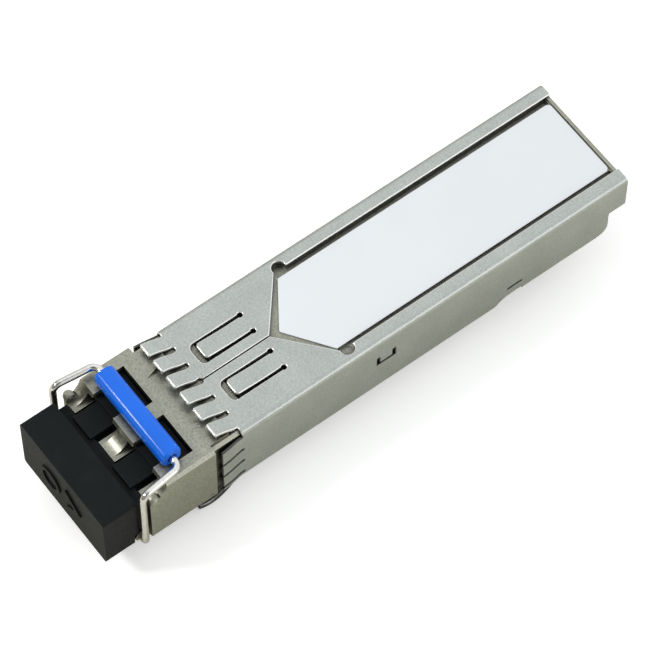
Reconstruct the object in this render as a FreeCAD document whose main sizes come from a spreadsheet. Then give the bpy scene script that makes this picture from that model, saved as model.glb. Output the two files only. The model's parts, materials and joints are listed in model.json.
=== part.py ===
"""A small pluggable optical transceiver module with a duplex fibre receptacle, a pull bail and a dust plug.

Frame: the origin is on the front shoulder of the latch boss, in the plane of the shell's underside,
on the centre line. +X is across, +Y points to the card edge at the tail and +Z to the label side.
"""
import FreeCAD, Part
import Sketcher
import math
import os
import re

V = FreeCAD.Vector

doc = FreeCAD.newDocument("OpticalTransceiver")
sheet = doc.addObject("Spreadsheet::Sheet", "Sizes")

SIZES = {
    # sheet-metal shell
    "shell_width": 13.4,
    "shell_height": 8.5,
    "shell_length": 45.0,
    "sheet_thickness": 0.3,
    "bend_radius": 0.6,
    "rim_edge": 5.15,
    "vee_point": 7.95,
    "vee_shoulder": 12.3,
    "notch_radius": 0.7,
    "notch_across": 5.35,
    "notch_along": 12.95,
    "overlap": 0.4,
    "seam_gap": 0.12,
    "seam_hole_radius": 0.33,
    "top_finger_length": 2.4,
    "top_finger_rise": 1.0,
    "top_finger_pitch": 2.06,
    "top_finger_width": 1.52,
    "finger_bow": 0.65,
    "side_finger_length": 2.5,
    "side_finger_flare": 0.3,
    "side_flap_low": 0.35,
    "side_flap_high": 7.65,
    "side_slit_first": 0.85,
    "side_slit_pitch": 2.15,
    "side_slit_width": 0.28,
    "bottom_finger_length": 4.9,
    "bottom_finger_drop": 2.2,
    "bottom_finger_crest": 0.7,
    "bottom_finger_curl": 0.78,
    "bottom_flap_inner": 2.7,
    "bottom_flap_outer": 6.35,
    "bottom_slit_half": 0.2,
    "spring_tab_offset": 2.37,
    "spring_tab_width": 1.8,
    "spring_tab_front": 1.9,
    "spring_tab_root": 7.1,
    "spring_tab_bend": 5.1,
    "spring_tab_rise": 0.22,
    "spring_tab_round": 0.35,
    "spring_slot_width": 0.3,
    "spring_slot_front": 1.3,
    "spring_slot_round": 0.6,
    "spring_slot_end_radius": 0.27,
    "spring_room_side": 0.2,
    "spring_room_floor": 7.75,
    "lance_front": 15.4,
    "lance_rear": 17.5,
    "lance_low": 4.4,
    "lance_high": 5.65,
    "lance_slot": 0.28,
    "belly_end": 29.4,
    "belly_sweep": 2.0,
    "belly_rise": 1.2,
    "belly_step": 32.6,
    "belly_slit_front": 30.9,
    "belly_slit_low": 2.35,
    "belly_slit_high": 2.6,
    "sill_height": 0.95,
    "tail_step": 43.0,
    "tail_step_height": 4.1,
    "tail_round": 1.2,
    "boss_window_half": 1.65,
    "boss_window_rear": 3.1,
    # cast nose with the fibre receptacle
    "nose_width": 13.7,
    "nose_height": 8.55,
    "nose_front": -10.45,
    "stop_face": -3.1,
    "lower_chamfer": 0.4,
    "upper_chamfer": 0.3,
    "shelf_half": 5.95,
    "shelf_rear": -1.0,
    "fit_gap": 0.05,
    "inner_chamfer": 0.3,
    "scoop_radius": 1.95,
    "port_pitch": 6.25,
    "axis_height": 4.0,
    "port_half": 2.31,
    "port_floor_wall": -0.9,
    "neck_half": 1.865,
    "neck_top": 6.6,
    "ear_slot_half": 2.325,
    "ear_slot_top": 7.9,
    "latch_slot_half": 1.55,
    "window_front": -6.6,
    "window_rear": -4.6,
    "ramp_front": -3.85,
    "ramp_rear": -2.2,
    "ramp_half": 3.0,
    "ramp_rear_half": 4.2,
    "ramp_depth": 0.45,
    "bulkhead_rear": 3.2,
    "tray_rear": 16.0,
    "tray_floor": 1.4,
    "tray_wall_inner": 5.7,
    "tray_wall_top": 7.45,
    "post_front": 12.5,
    "post_rear": 15.5,
    "knob_radius": 0.55,
    "knob_across": 6.65,
    "knob_forward": -10.0,
    "knob_height": 7.0,
    # pull bail and its pivots
    "wire_radius": 0.36,
    "pivot_forward": -11.35,
    "pivot_height": 0.8,
    "pivot_bore": 0.41,
    "pivot_ear_inner": 5.0,
    "pivot_ear_outer": 6.35,
    "pivot_ear_radius": 0.65,
    "bail_half": 7.05,
    "bail_top_half": 6.5,
    "bail_top": 9.65,
    "grip_rear": -6.85,
    "grip_half_length": 5.4,
    "grip_depth": 2.1,
    "grip_height": 2.0,
    "grip_round": 0.75,
    "crank_half": 2.3,
    "crank_throw": 0.4,
    "grip_bend": 0.8,
    "shoulder_bend": 0.9,
    "foot_bend": 0.5,
    "crank_bend": 0.4,
    # latch lever
    "lever_pin_forward": -5.4,
    "lever_pin_height": 0.62,
    "lever_pin_radius": 0.25,
    "lever_pin_half": 3.1,
    "lever_bore": 0.3,
    "knuckle_radius": 0.52,
    "lever_half": 2.15,
    "lever_arm_half": 1.4,
    "lever_tail_half": 1.6,
    "lever_tail_front": -11.95,
    "lever_tail_top": 0.66,
    "lever_body_front": -10.35,
    "lever_body_rear": -3.6,
    "lever_rear": 2.75,
    "lever_arm_low": 0.35,
    "lever_arm_high": 0.75,
    "lever_tail_low": 0.2,
    "lever_low": 0.14,
    "lever_high": 0.95,
    "channel_gap": 0.2,
    "arm_gap": 0.12,
    "channel_top": 1.35,
    "channel_rear_top": 1.65,
    "boss_height": 0.45,
    "boss_width": 2.6,
    "boss_length": 2.6,
    "boss_crest": 1.0,
    "spring_forward": 1.3,
    "spring_radius": 0.5,
    "spring_wire": 0.1,
    "spring_pocket": 0.75,
    "spring_top": 2.5,
    "spring_pitch": 0.36,
    # dust plug
    "plug_half": 6.55,
    "plug_front": -15.45,
    "plug_back": -12.2,
    "plug_shoulder_back": -11.75,
    "plug_low": 0.5,
    "plug_high": 7.9,
    "plug_round": 0.35,
    "plug_step_half": 6.1,
    "plug_step_low": 1.8,
    "plug_step_high": 6.8,
    "plug_step_back": -10.6,
    "prong_half": 2.2,
    "prong_tip": -3.2,
    "prong_bore": 1.6,
    "prong_bore_end": -11.4,
    "prong_key_half": 1.4,
    "prong_key_top": 7.2,
    "prong_key_back": -7.2,
    "prong_ear_low": 6.7,
    "prong_ear_high": 7.75,
    "prong_ear_front": -8.3,
    "prong_ear_back": -4.75,
    "mark_relief": 0.2,
    "mark_offset": 1.85,
    "ring_outer": 1.5,
    "ring_inner": 1.1,
    "chevron_half": 1.15,
    "chevron_rise": 1.9,
    "chevron_weight": 0.85,
    # housings, board and label
    "cover_front": 3.3,
    "cover_rear": 44.9,
    "cover_roof_low": 7.5,
    "recess_floor": 7.95,
    "recess_half": 5.3,
    "recess_rear": 44.55,
    "gutter_floor": 7.7,
    "notch_floor": 7.6,
    "label_half": 4.6,
    "label_thickness": 0.12,
    "label_rear": 44.4,
    "label_shoulder": 12.3,
    "label_point": 9.1,
    "base_rear": 34.6,
    "base_floor": 1.0,
    "board_low": 2.25,
    "board_thickness": 1.0,
    "board_front": 9.2,
    "board_front_half": 5.6,
    "board_mid_half": 6.15,
    "board_mid_front": 16.3,
    "board_mid_rear": 33.6,
    "edge_half": 4.6,
    "edge_taper": 34.6,
    "board_rear": 41.8,
    "edge_chamfer": 0.3,
    "contact_pitch": 0.8,
    "contact_width": 0.55,
    "contact_front": 38.4,
    "contact_rear": 41.4,
    "contact_thickness": 0.05,
    # optical subassemblies
    "barrel_radius": 1.49,
    "barrel_tip": -6.6,
    "barrel_hole": 1.55,
    "barrel_bore": 0.8,
    "sleeve_bore": 0.625,
    "sleeve_recess": 0.3,
    "stub_tip": -3.0,
    "optic_front": -0.1,
    "optic_radius": 2.2,
    "optic_flange": 2.5,
    "optic_flange_rear": 4.0,
    "optic_rear": 6.0,
    "can_radius": 2.3,
    "can_rear": 7.6,
    "flex_thickness": 0.15,
    "flex_half": 1.7,
    "flex_top": 5.8,
    "flex_rear": 12.0,
    "clamp_thickness": 1.2,
    "clamp_gap": 0.15,
    "clamp_half": 5.6,
    "clamp_low": 1.45,
    "clamp_high": 7.3,
    # rows of small parts on the board
    "dot_radius": 0.2,
    "dot_inset": 0.5,
    "dot_depth": 0.1,
    "bead_first": -3.9,
    "bead_pitch": 2.6,
    "bead_width": 1.0,
    "bead_front": 29.0,
    "bead_length": 2.0,
    "bead_height": 1.1,
    "passive_first": -4.65,
    "passive_pitch": 1.35,
    "passive_width": 0.5,
    "passive_length": 1.0,
    "passive_height": 0.45,
}

PACKAGE_SIZES = ("across", "along", "width", "length", "height")
PACKAGES = {
    "laser_driver": (-2.9, 15.6, 3.0, 3.0, 0.85),
    "limiting_amplifier": (2.9, 15.6, 3.0, 3.0, 0.85),
    "controller_chip": (0.0, 22.6, 5.0, 5.0, 0.9),
    "memory_chip": (0.0, 27.6, 3.0, 4.4, 1.1),
}
for package, numbers in PACKAGES.items():
    SIZES.update({f"{package}_{name}": number for name, number in zip(PACKAGE_SIZES, numbers)})

PASSIVE_ROWS = (18.2, 26.2, 33.0)
for row, along in zip("abc", PASSIVE_ROWS):
    SIZES[f"passive_row_{row}"] = along

for row, (alias, size) in enumerate(SIZES.items(), start=1):
    sheet.set(f"A{row}", alias.replace("_", " "))
    sheet.set(f"B{row}", str(size))
    sheet.setAlias(f"B{row}", alias)
doc.recompute()

nodes = {}


def size(alias):
    """The number in the sheet's cell of that name."""
    return float(sheet.get(alias))


def formula(text):
    """The same formula with every size in it looked up in the sheet."""
    return re.sub(r"[a-z_]+", lambda word: "Sizes." + word.group() if word.group() in SIZES else word.group(),
                  str(text))


def node(name, solid):
    """Name a finished sub-part."""
    solid.Label = name
    nodes[name] = solid
    return solid


def box(label, across, along, up):
    """A block between a low and a high formula on each axis."""
    block = doc.addObject("Part::Box", label)
    for side, axis, (low, high) in zip(("Length", "Width", "Height"), "xyz", (across, along, up)):
        block.setExpression(side, formula(f"({high}) - ({low})"))
        block.setExpression(f"Placement.Base.{axis}", formula(low))
    return block


def rod(label, direction, radius, low, high, centre):
    """A cylinder along an axis from low to high; centre holds the other two coordinates in order."""
    cylinder = doc.addObject("Part::Cylinder", label)
    cylinder.setExpression("Radius", formula(radius))
    cylinder.setExpression("Height", formula(f"({high}) - ({low})"))
    towards = {"x": V(1, 0, 0), "y": V(0, 1, 0), "z": V(0, 0, 1)}[direction]
    cylinder.Placement.Rotation = FreeCAD.Rotation(V(0, 0, 1), towards)
    others = iter(centre)
    for axis in "xyz":
        place = low if axis == direction else next(others)
        cylinder.setExpression(f"Placement.Base.{axis}", formula(place))
    return cylinder


def fuse(label, solids):
    union = doc.addObject("Part::MultiFuse", label)
    union.Shapes = solids
    union.Refine = True
    return union


def cut(label, base, tools):
    difference = doc.addObject("Part::Cut", label)
    difference.Base = base
    difference.Tool = tools[0] if len(tools) == 1 else fuse(label + "_cutters", tools)
    difference.Refine = True
    return difference


def common(label, first, second):
    shared = doc.addObject("Part::Common", label)
    shared.Base = first
    shared.Tool = second
    return shared


def mirrored(label, solid):
    """The same piece on the other side of the centre plane."""
    copy = doc.addObject("Part::Mirroring", label)
    copy.Source = solid
    copy.Normal = V(1, 0, 0)
    return copy


def both_sides(label, solid):
    return [solid, mirrored(label + "_left", solid)]


def prism(label, plane, corners, low, high, round_radius=None):
    """A padded outline. The corners are pairs of formulas on the XY, XZ or YZ plane."""
    body = doc.addObject("PartDesign::Body", label)
    sketch = body.newObject("Sketcher::SketchObject", label + "_outline")
    origin_plane = next(item for item in body.Origin.OriginFeatures if item.Role == plane + "_Plane")
    sketch.AttachmentSupport = (origin_plane, "")
    sketch.MapMode = "FlatFace"
    offset = f"-({high})" if plane == "XZ" else low
    sketch.setExpression("AttachmentOffset.Base.z", formula(offset))
    count = len(corners)
    ring = [V(math.cos(2 * math.pi * i / count), math.sin(2 * math.pi * i / count), 0) for i in range(count)]
    for i in range(count):
        sketch.addGeometry(Part.LineSegment(ring[i], ring[(i + 1) % count]))
    for i in range(count):
        sketch.addConstraint(Sketcher.Constraint("Coincident", i, 2, (i + 1) % count, 1))
    for i, (right, up) in enumerate(corners):
        for kind, place in (("DistanceX", right), ("DistanceY", up)):
            index = sketch.addConstraint(Sketcher.Constraint(kind, -1, 1, i, 1, 1.0))
            sketch.setExpression(f"Constraints[{index}]", formula(place))
    pad = body.newObject("PartDesign::Pad", label + "_pad")
    pad.Profile = sketch
    pad.setExpression("Length", formula(f"({high}) - ({low})"))
    if round_radius:
        doc.recompute()
        normal = {"XY": V(0, 0, 1), "XZ": V(0, 1, 0), "YZ": V(1, 0, 0)}[plane]
        edges = [f"Edge{i}" for i, edge in enumerate(pad.Shape.Edges, start=1)
                 if abs(edge.tangentAt(edge.FirstParameter).dot(normal)) > 0.999]
        fillet = body.newObject("PartDesign::Fillet", label + "_rounding")
        fillet.Base = (pad, edges)
        fillet.setExpression("Radius", formula(round_radius))
    return body


def half_pair(extent):
    """Low and high formulas of a piece centred across the module."""
    return f"-({extent})", f"{extent}"


def casting_outline():
    """The housings' section inside the shell, with its long edges chamfered clear of the bends."""
    side = "(shell_width / 2 - sheet_thickness - fit_gap)"
    low = "(sheet_thickness + fit_gap)"
    high = "(shell_height - sheet_thickness - fit_gap)"
    return [(f"-{side}", f"{low} + inner_chamfer"), (f"-{side} + inner_chamfer", low),
            (f"{side} - inner_chamfer", low), (side, f"{low} + inner_chamfer"),
            (side, f"{high} - inner_chamfer"), (f"{side} - inner_chamfer", high),
            (f"-{side} + inner_chamfer", high), (f"-{side}", f"{high} - inner_chamfer")]


# ---- sheet-metal shell -------------------------------------------------------------------------


def shell_tube():
    """The folded blank: a rounded rectangular tube with walls one sheet thick."""
    def section(inset):
        side = f"shell_width / 2 - {inset}"
        return [(f"-({side})", inset), (side, inset), (side, f"shell_height - {inset}"),
                (f"-({side})", f"shell_height - {inset}")]
    outside = prism("shell_outside", "XZ", section("0"), "0", "shell_length", "bend_radius")
    inside = prism("shell_inside", "XZ", section("sheet_thickness"), "-1", "shell_length + 1",
                   "bend_radius - sheet_thickness")
    return cut("shell_tube", outside, [inside])


def top_fingers():
    outline = [
        ("overlap", "shell_height - sheet_thickness"), ("overlap", "shell_height"), ("0", "shell_height"),
        ("-top_finger_length / 2", "shell_height + top_finger_rise * finger_bow"),
        ("-top_finger_length", "shell_height + top_finger_rise"),
        ("-top_finger_length", "shell_height + top_finger_rise - sheet_thickness"),
        ("-top_finger_length / 2", "shell_height + top_finger_rise * finger_bow - sheet_thickness"),
        ("0", "shell_height - sheet_thickness")]
    flap = prism("top_flap", "YZ", outline, *half_pair("(top_finger_pitch * 2.5 + top_finger_width / 2)"))
    gap = "(top_finger_pitch - top_finger_width)"
    slits = [
        box(f"top_slit_{i}", (f"top_finger_pitch * {i} - {gap} / 2", f"top_finger_pitch * {i} + {gap} / 2"),
            ("-top_finger_length - 1", "0.1"), ("shell_height - 2", "shell_height + top_finger_rise + 1"))
        for i in range(-2, 3)]
    return cut("top_fingers", flap, slits)


def side_fingers():
    """The fingers of the right wall, which leave the mouth flush with it and bow outward."""
    wall = "shell_width / 2"
    inner = f"{wall} - sheet_thickness"
    flap = prism("side_flap", "XY", [
        (inner, "overlap"), (inner, "0"),
        (f"{inner} + side_finger_flare * finger_bow", "-side_finger_length / 2"),
        (f"{inner} + side_finger_flare", "-side_finger_length"),
        (f"{wall} + side_finger_flare", "-side_finger_length"),
        (f"{wall} + side_finger_flare * finger_bow", "-side_finger_length / 2"), (wall, "0"),
        (wall, "overlap")], "side_flap_low", "side_flap_high")
    slits = [
        box(f"side_slit_{i}", (f"{wall} - 1", f"{wall} + 1"), ("-side_finger_length - 1", "0.1"),
            (f"side_slit_first + side_slit_pitch * {i}",
             f"side_slit_first + side_slit_pitch * {i} + side_slit_width")) for i in range(3)]
    return cut("side_fingers_right", flap, slits)


def belly_fingers():
    """The underside's fingers, which drop to a crest and curl up again at their tips."""
    reach, drop = "bottom_finger_length", "bottom_finger_drop"
    line = [("0", "0"), (f"-{reach} * bottom_finger_crest / 2", f"-{drop} * finger_bow"),
            (f"-{reach} * bottom_finger_crest", f"-{drop}"), (f"-{reach}", f"-{drop} * bottom_finger_curl")]
    upper = [(along, f"{up} + sheet_thickness") for along, up in line]
    flap = prism("belly_flap", "YZ", [("overlap", "0"), ("overlap", "sheet_thickness")] + upper + line[::-1],
                 "bottom_flap_inner", "bottom_flap_outer")
    middle = "(bottom_flap_inner + bottom_flap_outer) / 2"
    slit = box("belly_slit", (f"{middle} - bottom_slit_half", f"{middle} + bottom_slit_half"),
               ("-bottom_finger_length - 1", "0.1"), ("-bottom_finger_drop - 1", "1"))
    return cut("belly_fingers_right", flap, [slit])


def spring_window():
    """The opening in the top round the right spring tab, rounded at its front corners."""
    limits = ("spring_tab_offset - spring_tab_width / 2 - spring_slot_width",
              "spring_tab_offset + spring_tab_width / 2 + spring_slot_width")
    low, high = "shell_height - 1", "shell_height + 1"
    corners = [(limits[0], "spring_slot_front"), (limits[1], "spring_slot_front"),
               (limits[1], "spring_tab_bend"), (limits[0], "spring_tab_bend")]
    front = prism("spring_window_front", "XY", corners, low, high, "spring_slot_round")
    rear = box("spring_window_rear", limits, ("spring_slot_front + 1", "spring_tab_root"), (low, high))
    return [front, rear]


def spring_tab():
    """A tongue rooted at the back of its window and bent slightly upward towards its free end."""
    left, right = "spring_tab_offset - spring_tab_width / 2", "spring_tab_offset + spring_tab_width / 2"
    low, high = "shell_height - sheet_thickness", "shell_height"
    front, rear = "spring_tab_front", "spring_tab_root + overlap"
    strip = prism("spring_strip", "YZ", [
        (rear, low), (rear, high), ("spring_tab_bend", high), (front, f"{high} + spring_tab_rise"),
        (front, f"{low} + spring_tab_rise"), ("spring_tab_bend", low)], left, right)
    corners = [(left, front), (right, front), (right, rear), (left, rear)]
    outline = prism("spring_outline", "XY", corners, "shell_height - 1", "shell_height + 1",
                    "spring_tab_round")
    return common("spring_tab", strip, outline)


def spring_reliefs():
    """The round holes that end the right spring tab's two slots."""
    through = ("shell_height - 1", "shell_height + 1")
    middle = "(spring_tab_width + spring_slot_width) / 2"
    return [rod(f"spring_relief_{i}", "z", "spring_slot_end_radius", *through,
                (f"spring_tab_offset + {sign} * {middle}", "spring_tab_root"))
            for i, sign in enumerate((-1, 1))]


def wall_slots():
    """The U-shaped lance that locks a side wall to the casting, and the slit over the belly's end."""
    through = ("shell_width / 2 - 1", "shell_width / 2 + 1")
    parts = [box("lance_bottom", through, ("lance_front", "lance_rear"),
                 ("lance_low", "lance_low + lance_slot"))]
    for name, front in (("lance_a", "lance_front"), ("lance_b", "lance_rear - lance_slot")):
        parts.append(box(name, through, (front, f"{front} + lance_slot"), ("lance_low", "lance_high")))
    parts.append(box("belly_slit_side", through, ("belly_slit_front", "belly_step"),
                     ("belly_slit_low", "belly_slit_high")))
    return parts


def quarter_turn(first, steps=4):
    """Cosine and sine at even steps over a quarter turn, for rounded corners in an outline."""
    angles = [math.radians(first + 90 * i / steps) for i in range(steps + 1)]
    return [(round(math.cos(angle), 6), round(math.sin(angle), 6)) for angle in angles]


def belly_opening():
    """The side view of what is cut away under the tail: a curved rise, a sill and a rounded lower corner."""
    rise = [(f"belly_end + belly_sweep * (1 - {x})", f"belly_rise * {y}") for x, y in quarter_turn(0)]
    corner = [(f"tail_step - tail_round + tail_round * {x}", f"sill_height + tail_round + tail_round * {y}")
              for x, y in quarter_turn(270)]
    outline = [("belly_end", "-1")] + rise + [("belly_step", "belly_rise"), ("belly_step", "sill_height")]
    outline += corner + [("tail_step", "tail_step_height"), ("shell_length + 1", "tail_step_height"),
                         ("shell_length + 1", "-1")]
    return prism("belly_opening", "YZ", outline, "-shell_width", "shell_width")


def shell():
    through_roof = ("shell_height - 1", "shell_height + 1")
    opening = prism("roof_opening", "XY", [
        ("-rim_edge", "shell_length + 1"), ("-rim_edge", "vee_shoulder"), ("0", "vee_point"),
        ("rim_edge", "vee_shoulder"), ("rim_edge", "shell_length + 1")], *through_roof)
    notch = rod("rim_notch", "z", "notch_radius", *through_roof, ("notch_across", "notch_along"))
    seam = box("seam", half_pair("seam_gap / 2"), ("-1", "vee_point + 1"), through_roof)
    seam_hole = rod("seam_hole", "z", "seam_hole_radius", *through_roof, ("0", "0.1"))
    window = box("boss_window", half_pair("boss_window_half"), ("-1", "boss_window_rear"), ("-1", "1"))
    blank = cut("shell_blank", shell_tube(), [belly_opening(), window])
    fingers = [top_fingers()] + both_sides("side_fingers", side_fingers())
    fingers += both_sides("belly_fingers", belly_fingers())
    shape = fuse("shell_with_fingers", [blank] + fingers)
    cutters = [opening, seam, seam_hole]
    for hole in [notch] + spring_window() + wall_slots():
        cutters += both_sides(hole.Name, hole)
    folded = cut("shell_cut", shape, cutters)
    sprung = fuse("shell_with_tabs", [folded] + both_sides("spring_tabs", spring_tab()))
    reliefs = [relief for hole in spring_reliefs() for relief in both_sides(hole.Name, hole)]
    return node("shell", cut("shell_relieved", sprung, reliefs))


# ---- cast nose housing -------------------------------------------------------------------------


def receptacle(side):
    """The cavities of one fibre port: plug body, latch neck, ear slot, latch slot and top window."""
    middle = f"({side} * port_pitch / 2)"
    name = "port_right" if side > 0 else "port_left"
    front = "nose_front - 1"

    def slab(tag, half, along, up):
        return box(f"{name}_{tag}", (f"{middle} - {half}", f"{middle} + {half}"), along, up)

    body = slab("body", "port_half", (front, "port_floor_wall"),
                ("axis_height - port_half", "axis_height + port_half"))
    neck = slab("neck", "neck_half", (front, "port_floor_wall - 1"), ("axis_height", "neck_top"))
    ears = slab("ears", "ear_slot_half", (front, "window_rear"), ("neck_top", "ear_slot_top"))
    slot = slab("slot", "latch_slot_half", (front, "window_rear"), ("neck_top", "nose_height + 1"))
    window = slab("window", "ear_slot_half", ("window_front", "window_rear"), ("neck_top", "nose_height + 1"))
    hole = rod(f"{name}_hole", "y", "barrel_hole", "port_floor_wall - 1", "bulkhead_rear + 1",
               (middle, "axis_height"))
    seat = rod(f"{name}_seat", "y", "optic_radius + fit_gap", "optic_front", "bulkhead_rear + 1",
               (middle, "axis_height"))
    return [body, neck, ears, slot, window, hole, seat]


def resting_knob():
    """A small dome on the side of the nose that the bail's arm rests against."""
    dome = doc.addObject("Part::Sphere", "knob_dome")
    dome.setExpression("Radius", formula("knob_radius"))
    for axis, place in zip("xyz", ("knob_across", "knob_forward", "knob_height")):
        dome.setExpression(f"Placement.Base.{axis}", formula(place))
    stem = rod("knob_stem", "x", "knob_radius", "knob_across - overlap", "knob_across",
               ("knob_forward", "knob_height"))
    root = box("knob_root", ("nose_width / 2 - overlap - upper_chamfer", "nose_width / 2"),
               ("knob_forward - upper_chamfer", "knob_forward + knob_radius + overlap"),
               ("knob_height - 2 * knob_radius", "knob_height - 0.1"))
    return [dome, stem, root]


def nose_solids():
    """The nose block, the part inside the shell, the bail's pivot ears and the two resting knobs."""
    side, low, high = "nose_width / 2", "lower_chamfer", "upper_chamfer"
    block = prism("nose_block", "XZ", [
        (f"-{side}", low), (f"-{side} + {low}", "0"), (f"{side} - {low}", "0"), (side, low),
        (side, f"nose_height - {high}"), (f"{side} - {high}", "nose_height"),
        (f"-{side} + {high}", "nose_height"), (f"-{side}", f"nose_height - {high}")],
        "nose_front", "stop_face")
    scoop = rod("scoop", "x", "scoop_radius", "-nose_width", "nose_width", ("nose_front", "nose_height"))
    shelf = box("finger_shelf", half_pair("shelf_half"), ("stop_face - overlap", "shelf_rear"),
                ("nose_height - 1", "nose_height"))
    inner = prism("casting_core", "XZ", casting_outline(), "stop_face - overlap", "tray_rear")
    ear = box("pivot_ear_root", ("pivot_ear_inner", "pivot_ear_outer"),
              ("pivot_forward", "nose_front + overlap"),
              ("pivot_height - pivot_ear_radius", "pivot_height + pivot_ear_radius"))
    ear_round = rod("pivot_ear_round", "x", "pivot_ear_radius", "pivot_ear_inner", "pivot_ear_outer",
                    ("pivot_forward", "pivot_height"))
    solids = [cut("nose_scooped", block, [scoop]), shelf, inner]
    for piece in [ear, ear_round] + resting_knob():
        solids += both_sides(piece.Name, piece)
    return solids


def lever_channel():
    """The room for the latch lever under the ports, its pin slots and the pocket of its spring."""
    wide = box("channel", half_pair("lever_half + channel_gap"),
               ("nose_front - 1", "lever_body_rear + overlap"), ("-1", "channel_top"))
    arm = box("channel_arm", half_pair("lever_arm_half + arm_gap"), ("lever_body_rear", "port_floor_wall"),
              ("-1", "channel_top"))
    rear = box("channel_rear", half_pair("lever_arm_half + arm_gap"),
               ("port_floor_wall - 0.1", "boss_window_rear"), ("-1", "channel_rear_top"))
    pocket = rod("spring_pocket_hole", "z", "spring_pocket", "0", "spring_top", ("0", "spring_forward"))
    pin = rod("pin_seat", "x", "lever_pin_radius", "-lever_pin_half", "lever_pin_half",
              ("lever_pin_forward", "lever_pin_height"))
    pin_slot = box("pin_slot", half_pair("lever_pin_half"),
                   ("lever_pin_forward - lever_pin_radius", "lever_pin_forward + lever_pin_radius"),
                   ("-1", "lever_pin_height"))
    return [wide, arm, rear, pocket, pin, pin_slot]


def spring_rooms(name):
    """The shallow pockets in the castings that let the shell's two spring tabs flex."""
    half = "spring_tab_width / 2 + spring_slot_width + spring_room_side"
    room = box(name, (f"spring_tab_offset - ({half})", f"spring_tab_offset + {half}"),
               ("spring_tab_front", "spring_tab_root + 2 * spring_room_side"),
               ("spring_room_floor", "shell_height + 1"))
    return both_sides(name, room)


def nose_housing():
    tray = box("tray_hollow", half_pair("tray_wall_inner"), ("bulkhead_rear", "tray_rear + 1"),
               ("tray_floor", "shell_height"))
    shelf = box("cover_seat", half_pair("shell_width"), ("bulkhead_rear + fit_gap", "tray_rear + 1"),
                ("tray_wall_top", "shell_height"))
    ramp_side = prism("finger_ramp_side", "YZ", [
        ("ramp_front", "nose_height"), ("ramp_rear", "nose_height - ramp_depth"),
        ("0", "nose_height - ramp_depth"), ("0", "nose_height + 1"), ("ramp_front", "nose_height + 1")],
        "-ramp_rear_half", "ramp_rear_half")
    ramp_plan = prism("finger_ramp_plan", "XY", [
        ("-ramp_half", "ramp_front"), ("ramp_half", "ramp_front"),
        ("ramp_rear_half", "0"), ("-ramp_rear_half", "0")], "nose_height - 1", "nose_height + 1")
    ramp = common("finger_ramp", ramp_side, ramp_plan)
    pivots = rod("pivot_bores", "x", "pivot_bore", "-pivot_ear_outer - 1", "pivot_ear_outer + 1",
                 ("pivot_forward", "pivot_height"))
    posts = box("board_post", ("edge_half", "tray_wall_inner + 0.1"), ("post_front", "post_rear"),
                ("tray_floor - 0.1", "board_low"))
    solids = fuse("nose_solid", nose_solids())
    cutters = [tray, shelf, ramp, pivots] + spring_rooms("nose_tab_room")
    cutters += receptacle(1) + receptacle(-1) + lever_channel()
    casting = cut("nose_hollowed", solids, cutters)
    return node("nose_housing", fuse("nose_complete", [casting] + both_sides("board_posts", posts)))


# ---- rear housings and label -------------------------------------------------------------------


def cover_housing():
    """The upper casting behind the nose; the label lies in a recess in its roof."""
    outer = prism("cover_outer", "XZ", casting_outline(), "cover_front", "cover_rear")
    top = "board_low + board_thickness"
    cutters = [
        box("cover_underside", half_pair("shell_width"), ("0", "shell_length + 1"), ("-1", top)),
        box("cover_inside", half_pair("tray_wall_inner"), ("0", "shell_length + 1"), ("0", "cover_roof_low")),
        box("cover_over_tray", half_pair("shell_width"), ("0", "tray_rear + 0.2"), ("0", "cover_roof_low")),
        box("cover_tail_step", half_pair("shell_width"), ("tail_step - 0.2", "shell_length + 1"),
            ("0", "tail_step_height")),
        prism("label_recess", "XY", [
            ("-recess_half", "recess_rear"), ("-recess_half", "vee_shoulder - 0.3"), ("0", "vee_point - 0.1"),
            ("recess_half", "vee_shoulder - 0.3"), ("recess_half", "recess_rear")],
            "recess_floor", "shell_height + 1")]
    pocket = rod("notch_pocket", "z", "notch_radius", "notch_floor", "shell_height + 1",
                 ("notch_across", "notch_along"))
    gutter = box("label_gutter", ("label_half", "recess_half"), ("label_shoulder", "label_rear"),
                 ("gutter_floor", "shell_height + 1"))
    cutters += both_sides("notch_pockets", pocket) + both_sides("label_gutters", gutter)
    cutters += spring_rooms("cover_tab_room")
    return node("cover_housing", cut("cover_cut", outer, cutters))


def base_tray():
    """The lower casting that carries the board behind the nose."""
    outer = prism("base_outer", "XZ", casting_outline(), "tray_rear + 0.1", "base_rear")
    cutters = [
        box("base_above", half_pair("shell_width"), ("0", "shell_length"), ("board_low", "shell_height + 1")),
        box("base_inside", half_pair("tray_wall_inner"), ("0", "shell_length"),
            ("base_floor", "shell_height"))]
    return node("base_tray", cut("base_cut", outer, cutters))


def label():
    outline = [("-label_half", "label_rear"), ("-label_half", "label_shoulder"), ("0", "label_point"),
               ("label_half", "label_shoulder"), ("label_half", "label_rear")]
    film = prism("label_sheet", "XY", outline, "recess_floor", "recess_floor + label_thickness")
    return node("label", film)


# ---- pull bail, latch lever and dust plug ------------------------------------------------------


def bent_wire(points, bends, radius):
    """A round wire along straight runs joined by tangent arcs; bends holds the arcs' radii."""
    edges = []
    start = points[0]
    for before, corner, after, bend in zip(points, points[1:], points[2:], bends):
        arriving = (corner - before).normalize()
        leaving = (after - corner).normalize()
        turn = arriving.getAngle(leaving)
        setback = bend * math.tan(turn / 2)
        first = corner - arriving * setback
        last = corner + leaving * setback
        inward = (leaving - arriving).normalize()
        middle = corner + inward * (bend / math.cos(turn / 2) - bend)
        edges.append(Part.makeLine(start, first))
        edges.append(Part.Arc(first, middle, last).toShape())
        start = last
    edges.append(Part.makeLine(start, points[-1]))
    path = Part.Wire(edges)
    section = Part.Wire([Part.makeCircle(radius, points[0], points[1] - points[0])])
    return path.makePipeShell([section], True, False)


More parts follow.
